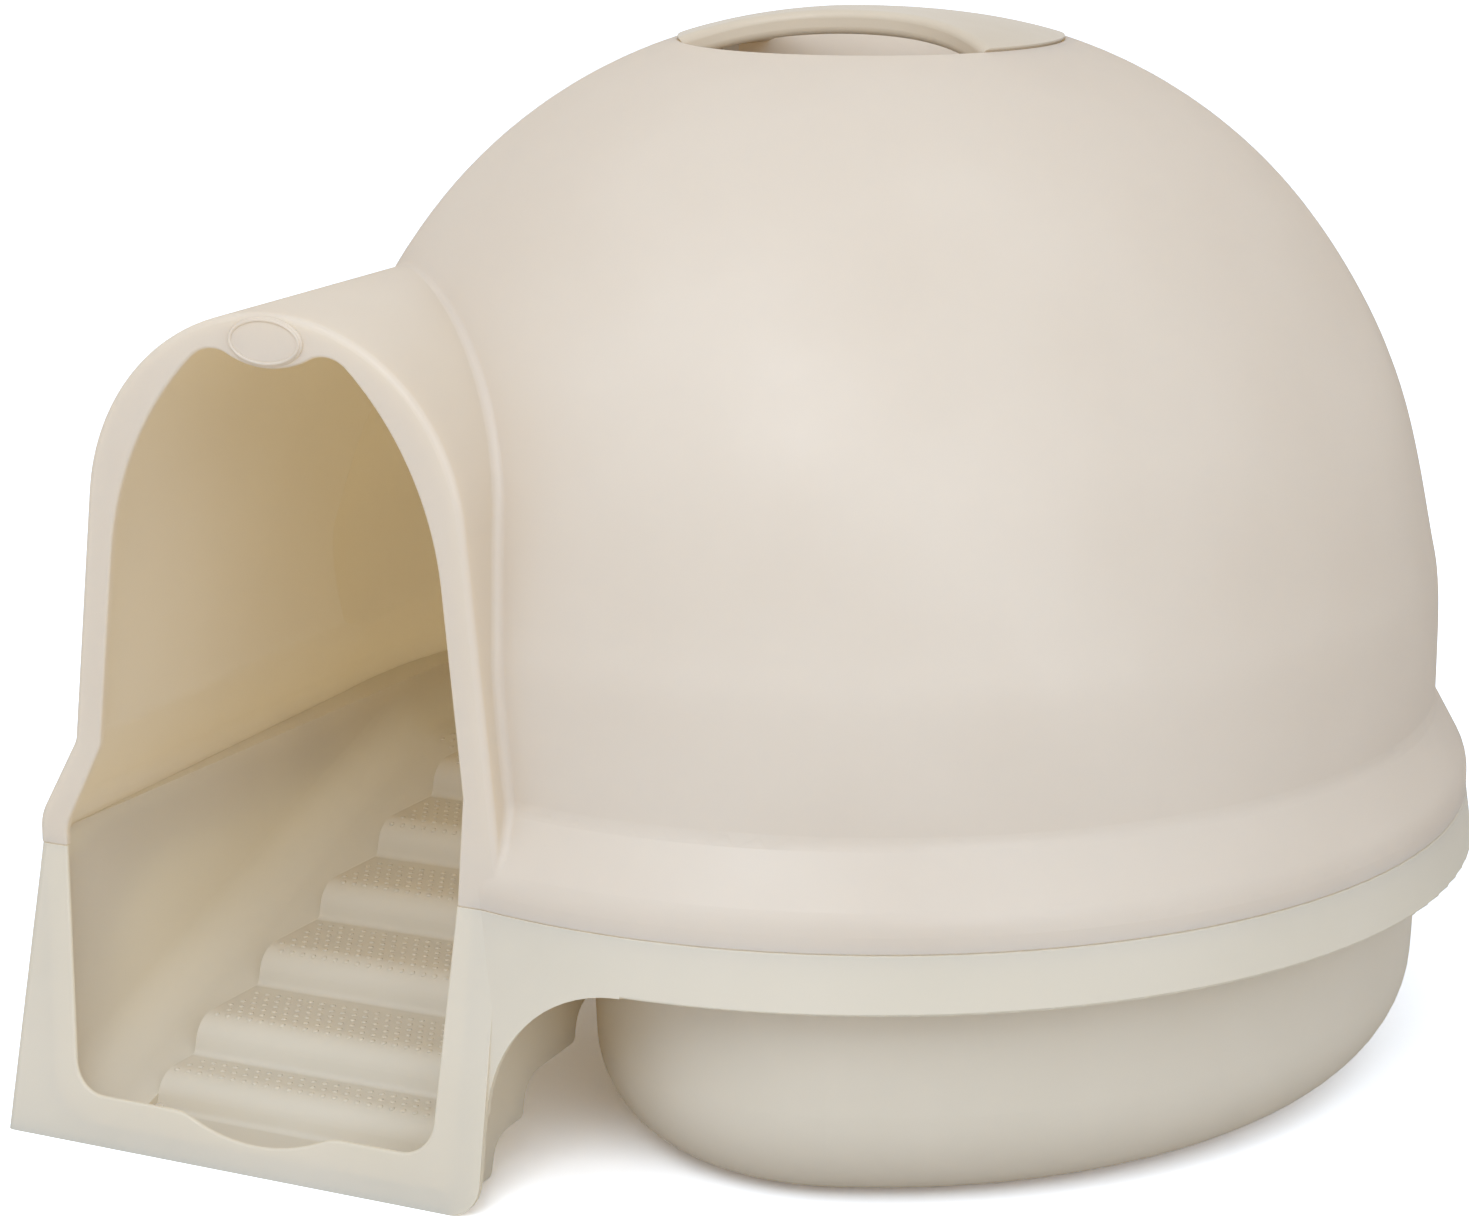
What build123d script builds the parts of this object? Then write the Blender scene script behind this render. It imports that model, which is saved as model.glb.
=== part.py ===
"""Domed cat litter box: a round pan with a stepped entrance, and a hood that lifts off it.

Frame: origin on the floor under the dome's axis, +Z up, -Y towards the doorway's face,
+X to the right of someone who faces the doorway. Millimetres.
"""
import os
from math import acos, atan2, cos, degrees, hypot, radians, sin, sqrt, tan

from build123d import *

# Main sizes
rim_radius = 282.0
seam_z = 127.6
dome_top = 479.2

# Walls, clearances and edges
wall = 3.0
land_clearance = 0.9
seat_clearance = 0.3
edge_round = 1.2
seam_round = 0.8

# Rim, where hood and pan meet
land_rise = 3.0
skirt_depth = 25.0
skirt_draft = 8.85

# Front corner of pan and hood, from the rim
side_inset = 0.6
side_draft = 3.6
fascia_cover = 2.0
fascia_lean = 11.4
leg_offset = 15.0
leg_depth = 52.0
arch_radius = 60.0
foot_round = 14.0
web_lap = 16.0
corner_round = 4.0

# Bowl of the pan
rim_width = 19.0
bowl_draft = 2.0
bowl_round = 50.0
bowl_corner = 112.0
bowl_side_share = 0.308
bowl_back_corner = 30.0

# Ramp channel of the pan
divider_offset = 2.5
channel_draft = 8.0
gutter_width = 50.0
cove_radius = 22.0
gutter_bend = 60.0
ramp_floor_z = 9.0
nose_setback = 2.4
first_tread_depth = 29.0
first_tread_z = 25.0
tread_going = 49.5
tread_rise = 16.5
tread_count = 6
riser_set = 4.0
nose_round = 13.0
crease_round = 3.0
landing_depth = 107.0
passage_depth = 77.0

# Doorway in the pan's fascia
sill_z = 22.0
sill_left_inset = 28.4
sill_right_inset = 9.5
door_left_inset = 14.4
door_right_inset = 5.5
sill_corner = 15.0
scoop_offset = 3.0
scoop_width = 74.0
scoop_depth = 9.0
scoop_round = 25.0

# Dome of the hood
shoulder_width = 16.0
shoulder_rise = 12.4
dome_power = 2.22
dome_points = 9
flare = 29.0
crease_radius = 12.0
bulge_radius = 20.0

# Tunnel and doorway of the hood
tunnel_drop = 108.2
tunnel_share = 0.32625
tunnel_cover = 0.12
tunnel_taper = 6.0
tunnel_back_y = 0.0
hood_lean = 1.5
fascia_round = 3.0
joint_round = 3.5
joint_margin = 9.0
opening_inset = 11.3
opening_taper = 6.0
spring_drop = 17.0
haunch_half_width = 37.7
haunch_drop = 21.0
dip_half_width = 20.0
dip_edge_drop = 18.2
dip_drop = 23.2
pad_width = 36.0
pad_height = 21.0
pad_drop = 11.7
pad_proud = 1.5
pad_round = 1.0

# Dish and handle at the crown
dish_radius = 88.0
dish_floor_radius = 64.0
dish_depth = 34.0
dish_corner = 14.0
dish_rim_round = 2.0
handle_width = 34.0
handle_flare_radius = 99.0
handle_depth = 11.0
handle_proud = 1.2
handle_round = 3.5
handle_points = 6
tongue_width = 18.0
tongue_depth = 4.0
tongue_drop = 11.0
tongue_root = 18.0
tongue_reach = 2.0

# Filter under the dish
collar_radius = 56.0
collar_depth = 14.0
filter_thickness = 8.0
cover_thickness = 2.5
cover_flange = 3.0
vent_width = 5.0
vent_pitch = 11.0
vent_circle = 46.0

# Places that follow from the sizes above
side_x = side_inset - rim_radius
bowl_radius = rim_radius - rim_width
dome_radius = rim_radius - shoulder_width
skirt_slope = tan(radians(skirt_draft))
skirt_bottom_z = seam_z - skirt_depth
skirt_foot_radius = rim_radius + skirt_depth * skirt_slope
land_radius = rim_radius - wall - land_clearance
land_top_z = seam_z + land_rise
cut_top_z = land_top_z + land_rise
landing_z = first_tread_z + tread_rise * (tread_count - 1)
shoulder_z = seam_z + shoulder_rise
crease_turn = crease_radius * tan(radians(flare / 2))
dome_spring_z = shoulder_z + shoulder_width / tan(radians(flare)) + crease_turn
bulge_z = shoulder_z - bulge_radius * tan(radians(flare / 2))
tunnel_crown_z = dome_top - tunnel_drop
tunnel_radius = rim_radius * tunnel_share
tunnel_z = tunnel_crown_z - tunnel_radius
tunnel_reaches = []
for haunch_angle in range(0, 60, 4):
    haunch_rise = tunnel_z + tunnel_radius * sin(radians(haunch_angle)) - dome_spring_z
    dome_share = 1 - (haunch_rise / (dome_top - dome_spring_z)) ** dome_power
    dome_reach = dome_radius * dome_share ** (1 / dome_power)
    tunnel_reaches.append(tunnel_radius * cos(radians(haunch_angle)) - dome_reach)
tunnel_x = max(tunnel_reaches) + tunnel_cover
tunnel_right_x = tunnel_x + tunnel_radius
tunnel_lean = tan(radians(tunnel_taper))
tunnel_foot_x = tunnel_x + tunnel_radius / cos(radians(tunnel_taper)) + (tunnel_z - seam_z) * tunnel_lean
fascia_y = fascia_cover - sqrt(rim_radius**2 - tunnel_foot_x**2)
first_nose_y = fascia_y + nose_setback
first_crease_y = first_nose_y + first_tread_depth
landing_end_y = first_crease_y + tread_going * (tread_count - 2) + landing_depth
landing_start_y = landing_end_y - passage_depth
bowl_side_corner = bowl_side_share * (bowl_radius - landing_end_y)
leg_x = tunnel_right_x + leg_offset
divider_x = tunnel_right_x + divider_offset
door_left_x = side_x + door_left_inset
door_right_x = tunnel_right_x - door_right_inset
sill_left_x = side_x + sill_left_inset
sill_right_x = tunnel_right_x - sill_right_inset
scoop_x = tunnel_x - scoop_offset
opening_half_width = tunnel_radius - opening_inset
opening_spring_z = tunnel_z - spring_drop
haunch_z = tunnel_crown_z - haunch_drop
dip_edge_z = tunnel_crown_z - dip_edge_drop
dip_z = tunnel_crown_z - dip_drop
pad_z = tunnel_crown_z - pad_drop
hood_slope = tan(radians(hood_lean))
tongue_inner = dish_radius - tongue_root
tongue_outer = dish_radius + tongue_reach
vent_half_count = int((vent_circle - vent_width) / vent_pitch)
tall = 2 * dome_top


def direction(angle):
    """Unit vector at an angle from the first axis of a sketch."""
    return Vector(cos(radians(angle)), sin(radians(angle)))


def meet(angle_1, reach_1, angle_2, reach_2):
    """Point where two lines cross, each given by its normal's angle and its reach along that normal."""
    turn = sin(radians(angle_2 - angle_1))
    x = (reach_1 * sin(radians(angle_2)) - reach_2 * sin(radians(angle_1))) / turn
    z = (reach_2 * cos(radians(angle_1)) - reach_1 * cos(radians(angle_2))) / turn
    return Vector(x, z)


def dome_z(out):
    """Height of the dome's outside at a distance from its axis."""
    share = 1 - (out / dome_radius) ** dome_power
    return dome_spring_z + (dome_top - dome_spring_z) * share ** (1 / dome_power)


dish_rim_z = dome_z(dish_radius)
dish_floor_z = dish_rim_z - dish_depth
collar_z = dish_floor_z - wall - collar_depth
tongue_z = dish_rim_z - tongue_drop


def dome_curve(inset):
    """Points from the crown to the foot of the dome, moved inward by inset."""
    points = []
    for step in range(dome_points):
        turn = radians(90 * step / (dome_points - 1))
        out = (dome_radius - inset) * sin(turn) ** (2 / dome_power)
        up = (dome_top - inset - dome_spring_z) * max(cos(turn), 0) ** (2 / dome_power)
        points.append((out, dome_spring_z + up))
    return points


def round_hood(inset, foot):
    """Dome with its flared shoulder, moved inward by inset, down to the height foot."""
    with BuildPart() as solid:
        with BuildSketch(Plane.XZ):
            with BuildLine():
                crown = Spline(dome_curve(inset), tangents=[(1, 0), (0, -1)])
                crease_centre = (dome_radius + crease_radius, dome_spring_z)
                crease = CenterArc(crease_centre, crease_radius + inset, 180, flare)
                bulge = CenterArc((rim_radius - bulge_radius, bulge_z), bulge_radius - inset, flare, -flare)
                Line(crease @ 1, bulge @ 0)
                side = Line(bulge @ 1, (rim_radius - inset, foot))
                Polyline(side @ 1, (0, foot), crown @ 0)
            make_face()
        revolve(axis=Axis.Z)
    return solid.part


def ahead_of_fascia(inset):
    """Everything in front of the hood's fascia, which leans back a little, moved inward by inset."""
    foot_y = fascia_y + inset - seam_z * hood_slope
    with BuildPart() as solid:
        with BuildSketch(Plane.YZ.offset(-tall)):
            with BuildLine():
                lean = Line((foot_y, 0), (foot_y + tall * hood_slope, tall))
                Polyline(lean @ 1, (-tall, tall), (-tall, 0), lean @ 0)
            make_face()
        extrude(amount=2 * tall)
    return solid.part


def tunnel(inset, foot, edge=0):
    """Entrance tunnel with the shoulder along its left side, moved inward by inset."""
    centre = Vector(tunnel_x, tunnel_z)
    radius = tunnel_radius - inset
    left_angle = 180 - tunnel_taper
    flare_angle = 180 - flare
    wall_reach = direction(left_angle).dot(centre) + radius
    flare_reach = direction(flare_angle).dot(Vector(side_x, shoulder_z)) - inset
    side = (side_x + inset, foot)
    shoulder = meet(180, -side_x - inset, flare_angle, flare_reach)
    crease = meet(flare_angle, flare_reach, left_angle, wall_reach)
    right_foot = meet(tunnel_taper, direction(tunnel_taper).dot(centre) + radius, -90, -foot)
    outdoors = ahead_of_fascia(inset)
    with BuildPart() as solid:
        with BuildSketch(Plane.XZ.offset(-tunnel_back_y)):
            with BuildLine():
                arch = CenterArc((tunnel_x, tunnel_z), radius, tunnel_taper, 180 - 2 * tunnel_taper)
                Polyline(arch @ 1, crease, shoulder, side, right_foot, arch @ 0)
            make_face()
            fillet(vertices().sort_by_distance(crease)[0], crease_radius + inset)
            fillet(vertices().sort_by_distance(shoulder)[0], bulge_radius - inset)
        extrude(amount=tunnel_back_y - 2 * fascia_y)
        add(outdoors, mode=Mode.SUBTRACT)
        if edge:
            front = faces().sort_by(Axis.Y)[0]
            fillet(front.edges().filter_by(lambda line: line.center().Z > foot + edge), edge)
    return solid.part


def dish(grow):
    """Round recess at the crown, grown by grow into the hood's wall."""
    slope = Vector(dish_radius - dish_floor_radius, dish_depth)
    out = Vector(slope.Y, -slope.X).normalized() * grow
    foot = Vector(dish_floor_radius, dish_floor_z) + out
    foot = foot - slope * ((foot.Y - dish_floor_z + grow) / slope.Y)
    head = foot + slope * 2
    with BuildPart() as solid:
        with BuildSketch(Plane.XZ):
            with BuildLine():
                Polyline((0, foot.Y), foot, head, (0, head.Y), (0, foot.Y))
            make_face()
            fillet(vertices().sort_by_distance(foot)[0], dish_corner + grow)
        revolve(axis=Axis.Z)
    return solid.part


def vents(floor_z, depth):
    """Row of slots inside a circle, cut upward from floor_z."""
    with BuildPart() as solid:
        with BuildSketch(Plane.XY.offset(floor_z)):
            for place in range(-vent_half_count, vent_half_count + 1):
                across = place * vent_pitch
                length = 2 * sqrt(vent_circle**2 - across**2)
                with Locations((0, across)):
                    SlotOverall(length, vent_width)
        extrude(amount=depth)
    return solid.part


def corner_block(inset, top_z, back_y, right_x):
    """Front left corner of the pan under the seam, its leaning front and side moved inward by inset."""
    with BuildPart() as solid:
        for height in (0, top_z):
            y = fascia_y + inset - (seam_z - height) * tan(radians(fascia_lean))
            x = side_x + inset - (seam_z - height) * tan(radians(side_draft))
            with BuildSketch(Plane.XY.offset(height)):
                with BuildLine():
                    Polyline((x, y), (right_x, y), (right_x, back_y), (x, back_y), close=True)
                make_face()
        loft()
    return solid.part


def left_of(offset, draft):
    """Everything left of a line from the fascia's corner that touches the bowl's circle, moved by offset."""
    start = Vector(side_x + wall, fascia_y)
    turn = degrees(acos((bowl_radius - wall) / start.length)) - degrees(atan2(-start.Y, -start.X))
    along = Vector(sin(radians(turn)), cos(radians(turn)), 0)
    across = Vector(along.Y, -along.X, 0)
    far_end = Vector(start.X, start.Y, 0) + along * tall / 2
    lean = tan(radians(draft))
    with BuildPart() as solid:
        with BuildSketch(Plane(far_end, x_dir=across, z_dir=-along)):
            with BuildLine():
                foot = (seam_z * lean + offset, 0)
                head = ((seam_z - tall) * lean + offset, tall)
                Polyline((-tall, 0), foot, head, (-tall, tall), close=True)
            make_face()
        extrude(amount=tall)
    return solid.part


def channel(shift, right_x, top_z):
    """Space over the ramp up to top_z; shift moves its treads back and down and its left wall outward."""
    wall_side = left_of(-shift, channel_draft)
    gutter_side = left_of(gutter_width + shift, 0)
    steps = [(2 * fascia_y, ramp_floor_z), (first_nose_y, ramp_floor_z)]
    rounds = [crease_round]
    for step in range(tread_count):
        crease_y = first_crease_y + tread_going * (step - 1)
        nose_y = crease_y + riser_set if step else first_nose_y + riser_set
        tread_z = first_tread_z + tread_rise * step
        last = step == tread_count - 1
        end_y = landing_end_y if last else crease_y + tread_going
        steps += [(nose_y, tread_z), (end_y, tread_z)]
        rounds += [nose_round, crease_round]
    steps = [(y + shift, z - shift) for y, z in steps]
    slope = tread_rise / tread_going
    gutter_start = first_crease_y - (first_tread_z - ramp_floor_z) / slope
    gutter_end = first_crease_y + (landing_z - first_tread_z) / slope
    gutter = [(2 * fascia_y, ramp_floor_z), (gutter_start, ramp_floor_z), (gutter_end, landing_z)]
    gutter = [(y + shift, z - shift) for y, z in gutter + [(landing_end_y, landing_z)]]
    with BuildPart() as over_treads:
        with BuildSketch(Plane.YZ.offset(right_x)):
            with BuildLine():
                path = FilletPolyline(steps, radius=rounds[:-1])
                Polyline(path @ 1, ((path @ 1).X, top_z), ((path @ 0).X, top_z), path @ 0)
            make_face()
        extrude(amount=-rim_radius)
        add(gutter_side, mode=Mode.SUBTRACT)
    with BuildPart() as over_gutter:
        with BuildSketch(Plane.YZ.offset(right_x)):
            with BuildLine():
                path = FilletPolyline(gutter, radius=gutter_bend)
                Polyline(path @ 1, ((path @ 1).X, top_z), ((path @ 0).X, top_z), path @ 0)
            make_face()
        extrude(amount=-rim_radius)
        add(gutter_side, mode=Mode.INTERSECT)
        add(wall_side, mode=Mode.SUBTRACT)
        wall_face = faces().sort_by(Axis.X)[0]
        foot_lines = wall_face.edges().filter_by(lambda line: line.center().Z < top_z - wall)
        foot_lines = foot_lines.filter_by(lambda line: abs(line.tangent_at(0.5).Z) < 0.6)
        fillet(foot_lines, cove_radius + shift)
    with BuildPart() as solid:
        add(over_treads.part)
        add(over_gutter.part)
    return solid.part


def bowl(inset, floor_z, top_z):
    """Round litter bowl without the corner that the ramp takes, moved inward by inset."""
    left = divider_x + inset
    back = landing_end_y + inset
    radius = bowl_radius - inset
    with BuildPart() as solid:
        with BuildSketch(Plane.XY.offset(top_z)):
            Circle(radius)
            with Locations((left, back)):
                Rectangle(tall, tall, align=(Align.MAX, Align.MAX), mode=Mode.SUBTRACT)
            front_corner = Vector(left, -sqrt(radius**2 - left**2))
            side_corner = Vector(-sqrt(radius**2 - back**2), back)
            fillet(vertices().sort_by_distance(front_corner)[0], bowl_corner - inset)
            fillet(vertices().sort_by_distance(side_corner)[0], bowl_side_corner - inset)
            fillet(vertices().sort_by_distance((left, back))[0], bowl_back_corner + inset)
        extrude(amount=floor_z - top_z, taper=bowl_draft)
        fillet(faces().sort_by(Axis.Z)[0].edges(), bowl_round - inset)
    return solid.part


def doorway_in_pan():
    """Doorway with its scooped sill, as a bar through the pan's fascia."""
    scoop_radius = (scoop_width**2 / 4 + scoop_depth**2) / (2 * scoop_depth)
    top_left = (door_left_x, seam_z)
    top_right = (door_right_x, seam_z)
    sill_left = (sill_left_x, sill_z)
    sill_right = (sill_right_x, sill_z)
    with BuildPart() as solid:
        with BuildSketch(Plane.XZ.offset(-fascia_y / 2)):
            with BuildLine():
                Polyline(top_left, sill_left, sill_right, top_right, close=True)
            make_face()
            fillet(vertices().sort_by_distance(sill_left)[0], sill_corner)
            fillet(vertices().sort_by_distance(sill_right)[0], sill_corner)
            with Locations((scoop_x, sill_z - scoop_depth + scoop_radius)):
                Circle(scoop_radius)
            for side in (-1, 1):
                lip = (scoop_x + side * scoop_width / 2, sill_z)
                fillet(vertices().sort_by_distance(lip)[0], scoop_round)
        extrude(amount=-fascia_y)
    return solid.part


def doorway_in_hood():
    """Doorway of the hood, with the dip under the oval pad, as a bar through its fascia."""
    slant = tan(radians(opening_taper))
    crease_z = dome_spring_z + crease_turn
    reach = opening_half_width + (opening_spring_z - crease_z) * slant
    left_crease = (tunnel_x - reach, crease_z)
    right_crease = (tunnel_x + reach, crease_z)
    left_shoulder = (door_left_x, shoulder_z - wall)
    left_foot = (door_left_x, seam_z - wall)
    right_foot = (door_right_x, seam_z - wall)
    with BuildPart() as solid:
        with BuildSketch(Plane.XZ.offset(-fascia_y - 2 * wall - tunnel_radius * hood_slope * 3)):
            with BuildLine():
                for side, crease in ((-1, left_crease), (1, right_crease)):
                    jamb = Line(crease, (tunnel_x + side * opening_half_width, opening_spring_z))
                    haunch_end = (tunnel_x + side * haunch_half_width, haunch_z)
                    haunch = TangentArc(jamb @ 1, haunch_end, tangent=jamb % 1)
                    dip_end = (tunnel_x + side * dip_half_width, dip_edge_z)
                    TangentArc(haunch @ 1, dip_end, tangent=haunch % 1)
                dip_start = (tunnel_x - dip_half_width, dip_edge_z)
                dip_finish = (tunnel_x + dip_half_width, dip_edge_z)
                ThreePointArc(dip_start, (tunnel_x, dip_z), dip_finish)
                Polyline(left_crease, left_shoulder, left_foot, right_foot, right_crease)
            make_face()
            fillet(vertices().sort_by_distance(left_crease)[0], crease_radius)
            fillet(vertices().sort_by_distance(left_shoulder)[0], bulge_radius)
        extrude(amount=tunnel_radius)
    return solid.part


def handle_feet(grow):
    """Two tongues that hold the handle in slots of the dish's wall, grown by grow on every side."""
    with BuildPart() as solid:
        with BuildSketch(Plane.XZ):
            for side in (-1, 1):
                with Locations((side * (tongue_inner + tongue_outer) / 2, tongue_z)):
                    Rectangle(tongue_outer - tongue_inner + 2 * grow, tongue_depth + 2 * grow)
        extrude(amount=tongue_width / 2 + grow, both=True)
    return solid.part


def gap_beside_leg(plane, edge, reach):
    """Space beside a leg: round its foot, up its edge and along a quarter arch under the skirt."""
    with BuildPart() as solid:
        with BuildSketch(plane):
            with BuildLine():
                foot = CenterArc((edge - foot_round, foot_round), foot_round, -90, 90)
                arch_centre = (edge + arch_radius, skirt_bottom_z - arch_radius)
                arch = CenterArc(arch_centre, arch_radius, 180, -90)
                Line(foot @ 1, arch @ 0)
                ground = [(tall, skirt_bottom_z), (tall, -wall), (edge - foot_round, -wall)]
                Polyline(arch @ 1, *ground, foot @ 0)
            make_face()
        extrude(amount=reach)
    return solid.part


def is_outer(line):
    """Whether an edge lies on the outline of the hood's foot."""
    spot = line @ 0.5
    near = 0.45 * wall
    return spot.X < side_x + near or spot.Y < fascia_y + near or hypot(spot.X, spot.Y) > rim_radius - near


def is_on_hood_fascia(line):
    """Whether an edge lies on the front of the hood."""
    spot = line @ 0.5
    return abs(spot.Y - fascia_y - (spot.Z - seam_z) * hood_slope) < seam_round


def is_along_handle(line):
    """Whether an edge runs along the waist of the handle."""
    return line.length > dish_radius and abs((line @ 0.5).X) < tongue_inner / 2


def is_on_pad(line):
    """Whether an edge lies on the face of the oval pad."""
    return (line.center() - pad_plane.origin).dot(pad_plane.z_dir) > pad_proud / 2


def is_on_fascia(line):
    """Whether an edge lies on the leaning front of the pan."""
    spot = line @ 0.5
    return abs(spot.Y - fascia_y + (seam_z - spot.Z) * tan(radians(fascia_lean))) < seam_round


def front_corner():
    """Fascia, left side and top plate of the pan's front corner, with its doorway and arches."""
    outside = corner_block(0, seam_z, 0, leg_x)
    inside = corner_block(wall, seam_z - wall, tall, tall)
    behind_lap = corner_block(2 * wall, seam_z, tall, tall)
    doorway = doorway_in_pan()
    leg_y = fascia_y + leg_depth - seam_z * tan(radians(fascia_lean))
    right_gap = gap_beside_leg(Plane.XZ, leg_x, tall)
    left_gap = gap_beside_leg(Plane.YZ.offset(side_x / 2), leg_y, -tall)
    with BuildPart() as lap:
        add(outside)
        with BuildSketch():
            with Locations((leg_x - 1.5 * wall, 0)):
                Rectangle(web_lap - 1.5 * wall, tall, align=(Align.MAX, Align.CENTER))
        extrude(amount=tall, mode=Mode.INTERSECT)
        add(behind_lap, mode=Mode.SUBTRACT)
    with BuildPart() as web:
        with BuildSketch(Plane.XZ):
            with BuildLine():
                foot = rim_radius + seam_z * skirt_slope
                web_foot = [(foot, 0), (foot - wall, 0)]
                Polyline((rim_radius, seam_z), *web_foot, (rim_radius - wall, seam_z), close=True)
            make_face()
        revolve(axis=Axis.Z)
        with BuildSketch(Plane.XY.offset(skirt_bottom_z - arch_radius)):
            with Locations((leg_x + arch_radius, 0)):
                Rectangle(arch_radius + web_lap, tall, align=(Align.MAX, Align.MAX))
        extrude(amount=tall, mode=Mode.INTERSECT)
        add(lap.part)
    with BuildPart() as solid:
        add(outside)
        upright = edges().filter_by(lambda line: abs(line.tangent_at(0).Z) > 0.9)
        fillet(upright.sort_by_distance((side_x, fascia_y, 0))[0], corner_round)
        add(inside, mode=Mode.SUBTRACT)
        add(web.part)
        add(right_gap, mode=Mode.SUBTRACT)
        add(doorway, mode=Mode.SUBTRACT)
        doorway_lines = edges(Select.NEW).filter_by(lambda line: line.center().Z < seam_z - edge_round)
        fillet(doorway_lines.filter_by(is_on_fascia), edge_round)
        add(left_gap, mode=Mode.SUBTRACT)
    return solid.part


channel_trim = corner_block(wall / 2, tall, tall, tall)
ramp_body = channel(wall, divider_x + wall, seam_z)
ramp_space = channel(0, divider_x, cut_top_z)
pan_corner = front_corner()
bowl_body = bowl(0, 0, seam_z)
bowl_space = bowl(wall, wall, cut_top_z)

with BuildPart() as ramp_outside:
    add(ramp_body)
    add(channel_trim, mode=Mode.INTERSECT)

with BuildPart() as ramp_inside:
    add(ramp_space)
    add(channel_trim, mode=Mode.INTERSECT)

with BuildPart() as base_pan:
    # Rim: a skirt band outside, a ledge for the hood's edge and a low land inside it
    with BuildSketch(Plane.XZ):
        with BuildLine():
            skirt = [
                (rim_radius - wall, seam_z - wall),
                (skirt_foot_radius - wall, skirt_bottom_z),
                (skirt_foot_radius, skirt_bottom_z),
                (rim_radius, seam_z),
            ]
            land = [
                (land_radius, seam_z),
                (land_radius, land_top_z),
                (bowl_radius - 2 * wall, land_top_z),
                (bowl_radius - 2 * wall, seam_z),
            ]
            Polyline((0, seam_z - wall), *skirt, *land, (0, seam_z), close=True)
        make_face()
        fillet(vertices().sort_by_distance(skirt[2])[0], edge_round)
        fillet(vertices().sort_by_distance(skirt[3])[0], seam_round)
    revolve(axis=Axis.Z)
    # Front corner, ramp and bowl as full bodies
    add(pan_corner)
    add(ramp_outside.part)
    add(bowl_body)
    # Land along the straight left side
    with BuildSketch(Plane.XY.offset(seam_z - wall)):
        with BuildLine():
            left = side_x + wall + land_clearance
            front = fascia_y + wall + land_clearance
            Polyline((left, front), (divider_x, front), (divider_x, 0), (left, 0), close=True)
        make_face()
    extrude(amount=wall + land_rise)
    # Hollow ramp channel and bowl, then the way from the landing into the bowl
    add(ramp_inside.part, mode=Mode.SUBTRACT)
    add(bowl_space, mode=Mode.SUBTRACT)
    with BuildSketch(Plane.XY.offset(landing_z)):
        with BuildLine():
            right = divider_x + 2 * wall
            back = landing_end_y + 2 * wall
            corner_y = landing_end_y + bowl_side_corner
            left = wall - sqrt((bowl_radius - bowl_side_corner) ** 2 - corner_y**2)
            near_side = [(left, landing_start_y), (right, landing_start_y)]
            far_side = [(right, back), (left, back)]
            Polyline(*near_side, *far_side, close=True)
        make_face()
    extrude(amount=cut_top_z - landing_z, mode=Mode.SUBTRACT)
base_pan.part.label = "base_pan"

dome_outside = round_hood(0, seam_z)
dome_inside = round_hood(wall, seam_z - wall)
tunnel_outside = tunnel(0, seam_z, fascia_round)
tunnel_inside = tunnel(wall, seam_z - wall)
dish_space = dish(0)
dish_body = dish(wall)
hood_doorway = doorway_in_hood()
floor_vents = vents(dish_floor_z - 2 * wall, 3 * wall)
tongue_slots = handle_feet(seat_clearance)

with BuildPart() as hood_space:
    add(dome_inside)
    add(tunnel_inside)
    add(dish_body, mode=Mode.SUBTRACT)

pad_plane = Plane(
    origin=(tunnel_x, fascia_y + (pad_z - seam_z) * hood_slope, pad_z),
    x_dir=(1, 0, 0),
    z_dir=(0, -cos(radians(hood_lean)), sin(radians(hood_lean))),
)

with BuildPart() as oval_pad:
    # Bare oval pad over the doorway
    with BuildSketch(pad_plane.offset(-wall / 2)):
        Ellipse(pad_width / 2, pad_height / 2)
    extrude(amount=wall / 2 + pad_proud)
    fillet(edges().filter_by(is_on_pad), pad_round)

with BuildPart() as whole_hood:
    # Outside of the dome and the tunnel, softened where they meet
    add(dome_outside)
    add(tunnel_outside)
    fillet(edges(Select.NEW), joint_round)
    add(dish_space, mode=Mode.SUBTRACT)
    fillet(edges(Select.NEW).sort_by(Axis.Z)[-1], dish_rim_round)
    add(hood_space.part, mode=Mode.SUBTRACT)
    add(hood_doorway, mode=Mode.SUBTRACT)
    doorway_lines = edges(Select.NEW).filter_by(lambda line: line.center().Z > land_top_z - wall / 2)
    fillet(doorway_lines.filter_by(is_on_hood_fascia), edge_round)
    foot_lines = faces().sort_by(Axis.Z)[0].edges()
    fillet(foot_lines.filter_by(is_outer), seam_round)
    add(oval_pad.part)
    # Collar for the filter, vents above it and slots for the handle's tongues
    with BuildSketch(Plane.XY.offset(collar_z)):
        Circle(collar_radius + wall)
        Circle(collar_radius, mode=Mode.SUBTRACT)
    extrude(amount=collar_depth + wall / 2)
    add(floor_vents, mode=Mode.SUBTRACT)
    add(tongue_slots, mode=Mode.SUBTRACT)

# The hood is one moulding; it is divided at the dish's wall and beside the tunnel into plain shells
tunnel_region = tunnel(-joint_margin, seam_z - joint_margin)

with BuildPart() as hood_dish:
    with BuildSketch():
        Circle(dish_radius + wall)
    extrude(amount=tall)
    add(whole_hood.part, mode=Mode.INTERSECT)
hood_dish.part.label = "hood_dish"

with BuildPart() as hood_tunnel:
    add(whole_hood.part)
    add(tunnel_region, mode=Mode.INTERSECT)
hood_tunnel.part.label = "hood_tunnel"

with BuildPart() as hood_dome:
    add(whole_hood.part)
    with BuildSketch():
        Circle(dish_radius + wall)
    extrude(amount=tall, mode=Mode.SUBTRACT)
    add(tunnel_region, mode=Mode.SUBTRACT)
hood_dome.part.label = "hood_dome"

handle_space = dish(-seat_clearance)
tongues = handle_feet(0)

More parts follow.
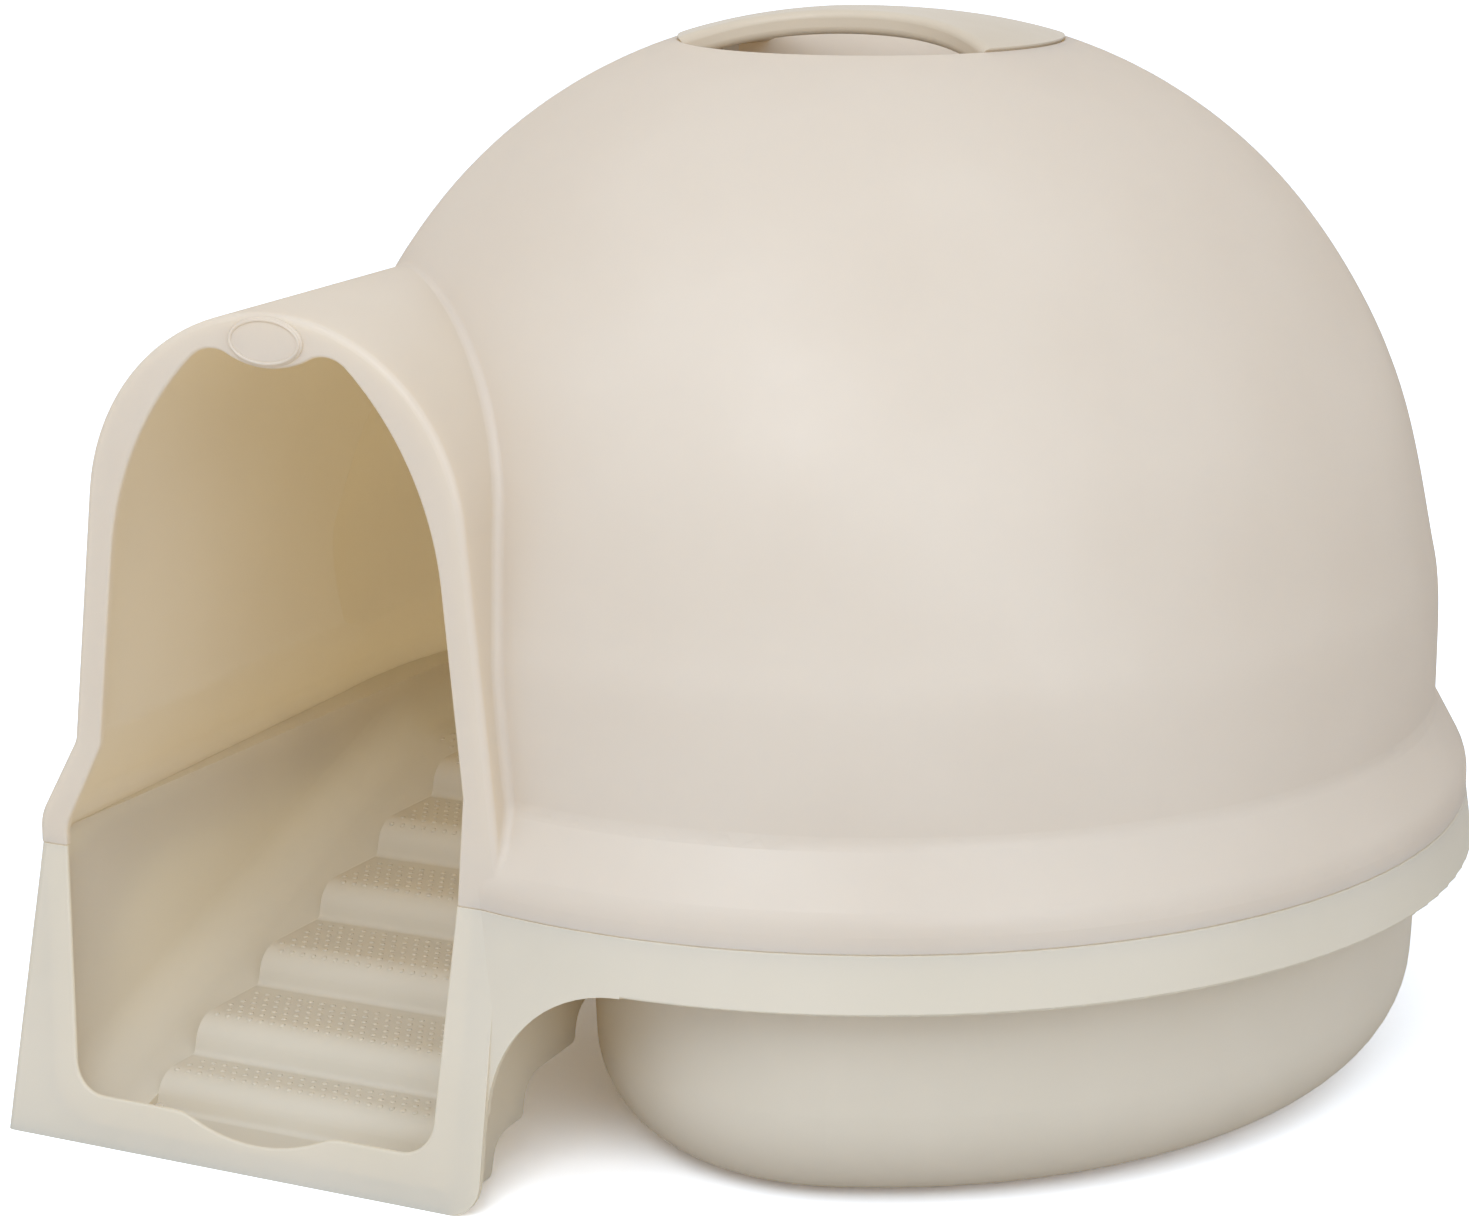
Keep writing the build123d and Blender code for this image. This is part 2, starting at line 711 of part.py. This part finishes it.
with BuildPart() as carry_handle:
    # Bar that follows the dome across the dish
    with BuildSketch(Plane.XZ):
        with BuildLine():
            outs = [dish_radius * step / handle_points for step in range(handle_points + 1)]
            upper = Spline([(out, dome_z(out) + handle_proud) for out in outs])
            lower = Spline([(out, dome_z(out) + handle_proud - handle_depth) for out in outs])
            Line(upper @ 0, lower @ 0)
            Line(upper @ 1, lower @ 1)
        make_face()
    revolve(axis=Axis.Z)
    with BuildSketch():
        flare_y = handle_width / 2 + handle_flare_radius
        Rectangle(2 * tall, 2 * flare_y)
        with Locations((0, -flare_y), (0, flare_y)):
            Circle(handle_flare_radius, mode=Mode.SUBTRACT)
    extrude(amount=tall, mode=Mode.INTERSECT)
    fillet(edges().filter_by(is_along_handle), handle_round)
    # Feet at both ends of the bar, with the tongues that hold it
    with BuildSketch(Plane.XZ):
        with BuildLine():
            foot_z = tongue_z - tongue_depth / 2
            head_z = dome_z(tongue_inner) + handle_proud - handle_depth / 2
            foot_points = [(tongue_inner, foot_z), (dish_radius, foot_z)]
            Polyline(*foot_points, (dish_radius, head_z), (tongue_inner, head_z), close=True)
        make_face()
        mirror(about=Plane.YZ)
    extrude(amount=tongue_width / 2, both=True)
    add(handle_space, mode=Mode.INTERSECT)
    add(tongues)
carry_handle.part.label = "carry_handle"

with BuildPart() as filter_pad:
    with BuildSketch(Plane.XY.offset(dish_floor_z - wall - seat_clearance)):
        Circle(collar_radius - seat_clearance)
    extrude(amount=-filter_thickness)
filter_pad.part.label = "filter_pad"

cover_top_z = dish_floor_z - wall - filter_thickness - seat_clearance
flange_z = collar_z - seat_clearance - cover_thickness
cover_vents = vents(flange_z - wall, tall)

with BuildPart() as filter_cover:
    # Plug that carries the pad inside the collar, on a flange below it
    with BuildSketch(Plane.XY.offset(flange_z)):
        Circle(collar_radius + wall + cover_flange)
    extrude(amount=cover_thickness)
    with BuildSketch(Plane.XY.offset(flange_z)):
        Circle(collar_radius - seat_clearance)
        Circle(collar_radius - seat_clearance - wall, mode=Mode.SUBTRACT)
    extrude(amount=cover_top_z - flange_z)
    add(cover_vents, mode=Mode.SUBTRACT)
filter_cover.part.label = "filter_cover"

os.makedirs("parts", exist_ok=True)
export_step(base_pan.part, "parts/base_pan.step")
export_step(hood_dome.part, "parts/hood_dome.step")
export_step(hood_tunnel.part, "parts/hood_tunnel.step")
export_step(hood_dish.part, "parts/hood_dish.step")
export_step(carry_handle.part, "parts/carry_handle.step")
export_step(filter_pad.part, "parts/filter_pad.step")
export_step(filter_cover.part, "parts/filter_cover.step")
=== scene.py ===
from math import cos, pi, sin

import bmesh
import bpy
from mathutils import Color, Matrix, Vector
from mathutils.bvhtree import BVHTree


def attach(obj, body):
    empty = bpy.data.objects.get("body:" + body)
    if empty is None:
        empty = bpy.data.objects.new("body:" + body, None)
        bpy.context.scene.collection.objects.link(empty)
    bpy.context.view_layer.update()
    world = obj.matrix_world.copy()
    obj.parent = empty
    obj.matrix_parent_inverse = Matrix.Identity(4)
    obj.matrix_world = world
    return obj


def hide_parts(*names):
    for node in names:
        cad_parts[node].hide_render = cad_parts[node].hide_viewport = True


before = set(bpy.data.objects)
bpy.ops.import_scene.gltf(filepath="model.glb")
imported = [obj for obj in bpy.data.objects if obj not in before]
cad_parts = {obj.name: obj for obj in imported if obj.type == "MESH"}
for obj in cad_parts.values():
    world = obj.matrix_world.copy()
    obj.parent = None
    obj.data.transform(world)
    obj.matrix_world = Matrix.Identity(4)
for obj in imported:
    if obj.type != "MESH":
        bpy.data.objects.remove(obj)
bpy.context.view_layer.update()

scene = bpy.context.scene
scene.view_settings.view_transform = "Standard"

BACKWARD = Vector((0, 1, 0))
DOWN = Vector((0, 0, -1))
RIGHTWARD = Vector((1, 0, 0))

# Camera at the photograph's angle, in metres
CAMERA_SPOT = (0.5923, -1.44822, 0.60334)
CAMERA_RIGHT = Vector((0.90997, 0.41465, -0.00342))
CAMERA_UP = Vector((-0.10148, 0.2307, 0.96772))
CAMERA_AHEAD = Vector((-0.40206, 0.88025, -0.25201))
CAMERA_RANGE = 50.0
LENS_MM = 83.32
SENSOR_MM = 36.0

lens = bpy.data.cameras.new("photo_camera")
lens.lens = LENS_MM
lens.sensor_width = SENSOR_MM
lens.sensor_fit = "HORIZONTAL"
lens.clip_end = CAMERA_RANGE
camera = bpy.data.objects.new("photo_camera", lens)
turn = Matrix((CAMERA_RIGHT, CAMERA_UP, -CAMERA_AHEAD)).transposed().to_4x4()
camera.matrix_world = Matrix.Translation(CAMERA_SPOT) @ turn
scene.collection.objects.link(camera)
scene.camera = camera


class ShaderGraph:
    """Short calls for the nodes and links of a material or a world."""

    NOISE_MIDDLE = 0.5
    # Places of the colours among the mix node's sockets
    FIRST_COLOUR = 6
    SECOND_COLOUR = 7
    MIXED_COLOUR = 2

    def __init__(self, owner, output):
        owner.use_nodes = True
        self.tree = owner.node_tree
        self.tree.nodes.clear()
        self.output = self.add(output)

    def add(self, kind, **constants):
        """New node, with constants on the sockets that are named."""
        node = self.tree.nodes.new(kind)
        for socket, value in constants.items():
            node.inputs[socket.replace("_", " ")].default_value = value
        return node

    def link(self, source, target):
        self.tree.links.new(source, target)

    def show(self, shader):
        """Make a shader the one that is seen."""
        self.link(shader, self.output.inputs["Surface"])

    def mix(self, share, first, second):
        """Shader with a share of the second in the first; share is a number or a socket."""
        node = self.add("ShaderNodeMixShader")
        if isinstance(share, float):
            node.inputs["Fac"].default_value = share
        else:
            self.link(share, node.inputs["Fac"])
        self.link(first, node.inputs[1])
        self.link(second, node.inputs[2])
        return node.outputs["Shader"]

    def blend(self, share, first, second):
        """Colour with a share, a socket, of the second in the first."""
        node = self.add("ShaderNodeMix")
        node.data_type = "RGBA"
        self.link(share, node.inputs["Factor"])
        node.inputs[self.FIRST_COLOUR].default_value = (*first, 1.0)
        node.inputs[self.SECOND_COLOUR].default_value = (*second, 1.0)
        return node.outputs[self.MIXED_COLOUR]

    def larger(self, first, second):
        """The larger of two values."""
        node = self.add("ShaderNodeMath")
        node.operation = "MAXIMUM"
        self.link(first, node.inputs[0])
        self.link(second, node.inputs[1])
        return node.outputs["Value"]

    def noise(self, vector, scale, detail):
        node = self.add("ShaderNodeTexNoise", Scale=scale, Detail=detail)
        self.link(vector, node.inputs["Vector"])
        return node.outputs["Fac"]

    def stretch(self, noise, spread, low, high):
        """Noise whose values within spread of the middle run from low to high."""
        node = self.add("ShaderNodeMapRange", To_Min=low, To_Max=high)
        node.inputs["From Min"].default_value = self.NOISE_MIDDLE - spread
        node.inputs["From Max"].default_value = self.NOISE_MIDDLE + spread
        self.link(noise, node.inputs["Value"])
        return node.outputs["Result"]

    def bump(self, height, strength, distance):
        node = self.add("ShaderNodeBump", Strength=strength, Distance=distance)
        self.link(height, node.inputs["Height"])
        return node.outputs["Normal"]


# Clouds in the colour, patches in the gloss and fine grain of the materials, with scales per metre
CLOUD_SCALE = 9.0
CLOUD_DETAIL = 4.0
CLOUD_SPREAD = 0.15
GLOSS_SCALE = 40.0
GLOSS_DETAIL = 3.0
GLOSS_SPREAD = 0.2
GLOSS_SWING = 0.04
GRAIN_SCALE = 1400.0
GRAIN_DETAIL = 2.0
GRAIN_DEPTH = 0.0002
COAT_ROUGHNESS = 0.25
WARM_THROUGH = (0.97, 0.83, 0.58)


def linear(screen):
    """Scene colour of a screen colour given in 0 to 255."""
    return Color([value / 255 for value in screen]).from_srgb_to_scene_linear()


def cloudy_material(name, light, dark, rough, grain, coat=0.0, passes=0.0):
    """Plastic or felt, cloudy between two screen colours; passes is the share of light let through."""
    material = bpy.data.materials.new(name)
    graph = ShaderGraph(material, "ShaderNodeOutputMaterial")
    place = graph.add("ShaderNodeTexCoord").outputs["Object"]
    surface = graph.add("ShaderNodeBsdfPrincipled", Coat_Weight=coat, Coat_Roughness=COAT_ROUGHNESS)
    clouds = graph.noise(place, CLOUD_SCALE, CLOUD_DETAIL)
    lightness = graph.stretch(clouds, CLOUD_SPREAD, 0.0, 1.0)
    graph.link(graph.blend(lightness, linear(dark), linear(light)), surface.inputs["Base Color"])
    patches = graph.noise(place, GLOSS_SCALE, GLOSS_DETAIL)
    roughness = graph.stretch(patches, GLOSS_SPREAD, rough - GLOSS_SWING, rough + GLOSS_SWING)
    graph.link(roughness, surface.inputs["Roughness"])
    fine = graph.noise(place, GRAIN_SCALE, GRAIN_DETAIL)
    graph.link(graph.bump(fine, grain, GRAIN_DEPTH), surface.inputs["Normal"])
    if passes:
        through = graph.add("ShaderNodeBsdfTranslucent", Color=(*WARM_THROUGH, 1.0))
        graph.show(graph.mix(passes, surface.outputs["BSDF"], through.outputs["BSDF"]))
    else:
        graph.show(surface.outputs["BSDF"])
    return material


hood_look = cloudy_material(
    "hood_plastic", light=(233, 231, 227), dark=(229, 226, 221),
    rough=0.38, grain=0.10, coat=0.15, passes=0.47)
pan_look = cloudy_material(
    "pan_plastic", light=(231, 228, 218), dark=(226, 223, 212),
    rough=0.55, grain=0.15, passes=0.38)
# The handle is the hood's plastic with painted shade: its colour is darker and warmer than the hood's to
# stand in for the shade on the bar's front face
handle_painted_shade_look = cloudy_material(
    "handle_plastic", light=(210, 196, 175), dark=(204, 189, 167),
    rough=0.40, grain=0.10, coat=0.15, passes=0.1)
cover_look = cloudy_material(
    "cover_plastic", light=(228, 222, 208), dark=(223, 216, 202),
    rough=0.5, grain=0.15)
felt_look = cloudy_material(
    "filter_felt", light=(58, 58, 60), dark=(40, 40, 42),
    rough=0.9, grain=0.9)

looks = {
    "base_pan": pan_look,
    "hood_dome": hood_look,
    "hood_tunnel": hood_look,
    "hood_dish": hood_look,
    "carry_handle": handle_painted_shade_look,
    "filter_cover": cover_look,
    "filter_pad": felt_look,
}
for node, look in looks.items():
    item = bpy.data.objects[node]
    item.data.materials.clear()
    item.data.materials.append(look)


def smooth_piece(name, mesh, look):
    """New object that shows a mesh with smooth shading."""
    mesh.shade_smooth()
    mesh.materials.append(look)
    piece = bpy.data.objects.new(name, mesh)
    scene.collection.objects.link(piece)
    return piece


def shaped_piece(name, shape, look):
    """New smooth object from a bmesh, which is freed."""
    mesh = bpy.data.meshes.new(name)
    shape.to_mesh(mesh)
    shape.free()
    return smooth_piece(name, mesh, look)


def solid_tree(item):
    """Search tree over the surface of an object."""
    places = [item.matrix_world @ corner.co for corner in item.data.vertices]
    return BVHTree.FromPolygons(places, [tuple(face.vertices) for face in item.data.polygons])


# The hood is one moulding, so its three CAD nodes show as one shell without the faces between them
FACES_TOUCH = 0.0004
FACES_OPPOSED = -0.9


def one_moulding(name, nodes, look):
    """Object made of the faces of touching nodes, without those that face each other."""
    items = [bpy.data.objects[node] for node in nodes]
    trees = [solid_tree(item) for item in items]
    places = []
    sides = []
    bends = []
    for item, own_tree in zip(items, trees):
        turned = item.matrix_world.to_3x3()
        new_index = {}
        for face in item.data.polygons:
            centre = item.matrix_world @ face.center
            facing = turned @ face.normal
            hits = [tree.find_nearest(centre, FACES_TOUCH) for tree in trees if tree is not own_tree]
            if any(hit[0] is not None and hit[1].dot(facing) < FACES_OPPOSED for hit in hits):
                continue
            for corner in face.vertices:
                if corner not in new_index:
                    new_index[corner] = len(places)
                    places.append(item.matrix_world @ item.data.vertices[corner].co)
            sides.append([new_index[corner] for corner in face.vertices])
            bends += [turned @ item.data.corner_normals[loop].vector for loop in face.loop_indices]
    mesh = bpy.data.meshes.new(name)
    mesh.from_pydata(places, [], sides)
    shell = smooth_piece(name, mesh, look)
    mesh.normals_split_custom_set(bends)
    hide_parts(*nodes)
    return shell


hood = one_moulding("hood_shell", ("hood_dome", "hood_tunnel", "hood_dish"), hood_look)
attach(hood, "hood")

# Raised rim round the bare oval pad over the doorway, found on the pad's own face by rays from the front
PAD_X = -0.158
PAD_Z = 0.3593
PAD_HALF_WIDTH = 0.0166
PAD_HALF_HEIGHT = 0.0091
RIM_RADIUS = 0.0008
RIM_STEPS = 48
RIM_SIDES = 8
RAYS_FROM_Y = -1.0

front_face = solid_tree(hood)


def rim_ring(shape, angle):
    """Ring of the rim's corners where the oval has come round to angle."""
    x = PAD_X + PAD_HALF_WIDTH * cos(angle)
    z = PAD_Z + PAD_HALF_HEIGHT * sin(angle)
    spot = front_face.ray_cast(Vector((x, RAYS_FROM_Y, z)), BACKWARD)[0]
    outward = Vector((PAD_HALF_HEIGHT * cos(angle), 0, PAD_HALF_WIDTH * sin(angle))).normalized()
    ring = []
    for side in range(RIM_SIDES):
        bend = 2 * pi * side / RIM_SIDES
        ring.append(shape.verts.new(spot + RIM_RADIUS * (outward * cos(bend) - BACKWARD * sin(bend))))
    return ring


shape = bmesh.new()
rings = [rim_ring(shape, 2 * pi * step / RIM_STEPS) for step in range(RIM_STEPS)]
for ring, other in zip(rings, rings[1:] + rings[:1]):
    for side in range(RIM_SIDES):
        after = (side + 1) % RIM_SIDES
        shape.faces.new((ring[side], other[side], other[after], ring[after]))
bmesh.ops.recalc_face_normals(shape, faces=shape.faces)
pad_rim = shaped_piece("pad_rim", shape, hood_look)
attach(pad_rim, "hood")

# Small grip studs on the treads, set on the real surface of the ramp
STUD_PITCH = 0.0058
STUD_RADIUS = 0.0015
STUD_HEIGHT = 0.0005
STUD_SIDES = 6
# Rings from a stud's sunk foot upwards, as shares of its height and its radius
STUD_RINGS = ((-0.3, 1.0), (0.5, 0.75), (0.9, 0.4))
# Room that a stud needs, the least rise of its normal, and what still counts as flat and as level
STUD_REACH = 0.0036
STUD_FACING = 0.55
STUD_FLAT = 0.0002
LEVEL = 0.985
# Corners of the ramp in x and y, and a height above its treads
RAMP_LOW = (-0.235, -0.268)
RAMP_HIGH = (-0.070, 0.005)
RAMP_TOP = 0.124

ramp = solid_tree(bpy.data.objects["base_pan"])


def stud_grid():
    """Places in x and y over the ramp, each row half a pitch beside the last."""
    row = 0
    y = RAMP_LOW[1]
    while y < RAMP_HIGH[1]:
        x = RAMP_HIGH[0] - (row % 2) * STUD_PITCH / 2
        while x > RAMP_LOW[0]:
            yield x, y
            x -= STUD_PITCH
        y += STUD_PITCH
        row += 1


def on_tread(x, y):
    """Place and normal on a tread's flat or round nose under (x, y), or None beside them."""
    hits = []
    for step_x, step_y in ((0, 0), (1, 0), (-1, 0), (0, 1), (0, -1)):
        start = Vector((x + step_x * STUD_REACH, y + step_y * STUD_REACH, RAMP_TOP))
        spot, normal = ramp.ray_cast(start, DOWN)[:2]
        if spot is None or normal.z < STUD_FACING:
            return None
        hits.append((spot, normal))
    (spot, normal), right, left, behind, before = hits
    level = max(abs(right[0].z - spot.z), abs(left[0].z - spot.z)) < STUD_FLAT
    hollow = (behind[0].z + before[0].z) / 2 - spot.z > STUD_FLAT
    sloping = normal.z < LEVEL and behind[1].z < LEVEL and abs(behind[1].z - before[1].z) < 1 - LEVEL
    return (spot, normal) if level and not hollow and not sloping else None


def add_stud(shape, spot, normal):
    """Add one low round stud that stands on spot along the normal."""
    back = normal.cross(RIGHTWARD).normalized()
    across = back.cross(normal)
    rings = []
    for rise, reach in STUD_RINGS:
        ring = []
        for step in range(STUD_SIDES):
            angle = 2 * pi * step / STUD_SIDES
            side = across * cos(angle) + back * sin(angle)
            corner = spot + side * STUD_RADIUS * reach + normal * STUD_HEIGHT * rise
            ring.append(shape.verts.new(corner))
        rings.append(ring)
    tip = shape.verts.new(spot + normal * STUD_HEIGHT)
    for lower, upper in zip(rings, rings[1:]):
        for step in range(STUD_SIDES):
            after = (step + 1) % STUD_SIDES
            shape.faces.new((lower[step], lower[after], upper[after], upper[step]))
    for step in range(STUD_SIDES):
        shape.faces.new((rings[-1][step], rings[-1][(step + 1) % STUD_SIDES], tip))
    shape.faces.new(list(reversed(rings[0])))


shape = bmesh.new()
for x, y in stud_grid():
    hit = on_tread(x, y)
    if hit is not None:
        add_stud(shape, *hit)
studs = shaped_piece("tread_studs", shape, pan_look)
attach(studs, "pan")

# Floor that lights the object as a pale grey one, looks white to the camera and still holds a shadow
FLOOR_SIZE = 14.0
FLOOR_COLOUR = (0.66, 0.66, 0.66, 1.0)
FLOOR_SEEN = (1.62, 1.65, 1.70, 1.0)

bpy.ops.mesh.primitive_plane_add(size=FLOOR_SIZE, location=(0, 0, 0))
floor = bpy.context.object
floor.name = "floor"
floor_look = bpy.data.materials.new("floor")
graph = ShaderGraph(floor_look, "ShaderNodeOutputMaterial")
ray = graph.add("ShaderNodeLightPath").outputs
matte = graph.add("ShaderNodeBsdfDiffuse", Color=FLOOR_COLOUR)
seen = graph.add("ShaderNodeBsdfDiffuse", Color=FLOOR_SEEN)
graph.show(graph.mix(ray["Is Camera Ray"], matte.outputs["BSDF"], seen.outputs["BSDF"]))
floor.data.materials.append(floor_look)

# Slightly cool studio light, and a white backdrop for rays from the camera, off gloss or through glass
DAYLIGHT = (0.93, 0.985, 1.06)
SKY_STRENGTH = 0.80
WHITE = (1.0, 1.0, 1.0, 1.0)

world = bpy.data.worlds.new("studio")
scene.world = world
graph = ShaderGraph(world, "ShaderNodeOutputWorld")
ray = graph.add("ShaderNodeLightPath").outputs
sky = graph.add("ShaderNodeBackground", Color=(*DAYLIGHT, 1.0), Strength=SKY_STRENGTH)
backdrop = graph.add("ShaderNodeBackground", Color=WHITE, Strength=1.0)
direct_or_mirrored = graph.larger(ray["Is Camera Ray"], ray["Is Glossy Ray"])
shown = graph.larger(direct_or_mirrored, ray["Is Transmission Ray"])
graph.show(graph.mix(shown, sky.outputs["Background"], backdrop.outputs["Background"]))


def lamp(name, spot, aim, side, power):
    """Soft square studio lamp that points at aim."""
    data = bpy.data.lights.new(name, "AREA")
    data.color = DAYLIGHT
    data.shape = "SQUARE"
    data.size = side
    data.energy = power
    item = bpy.data.objects.new(name, data)
    item.location = spot
    item.rotation_euler = (Vector(aim) - Vector(spot)).to_track_quat("-Z", "Y").to_euler()
    scene.collection.objects.link(item)


lamp("key", spot=(-0.6, -1.6, 2.4), aim=(0, 0, 0.25), side=1.8, power=11.5)
lamp("fill", spot=(1.7, -1.7, 1.1), aim=(-0.05, 0, 0.2), side=1.4, power=12.0)
lamp("front", spot=(0.25, -1.65, 1.5), aim=(-0.14, -0.1, 0.12), side=0.9, power=10.0)
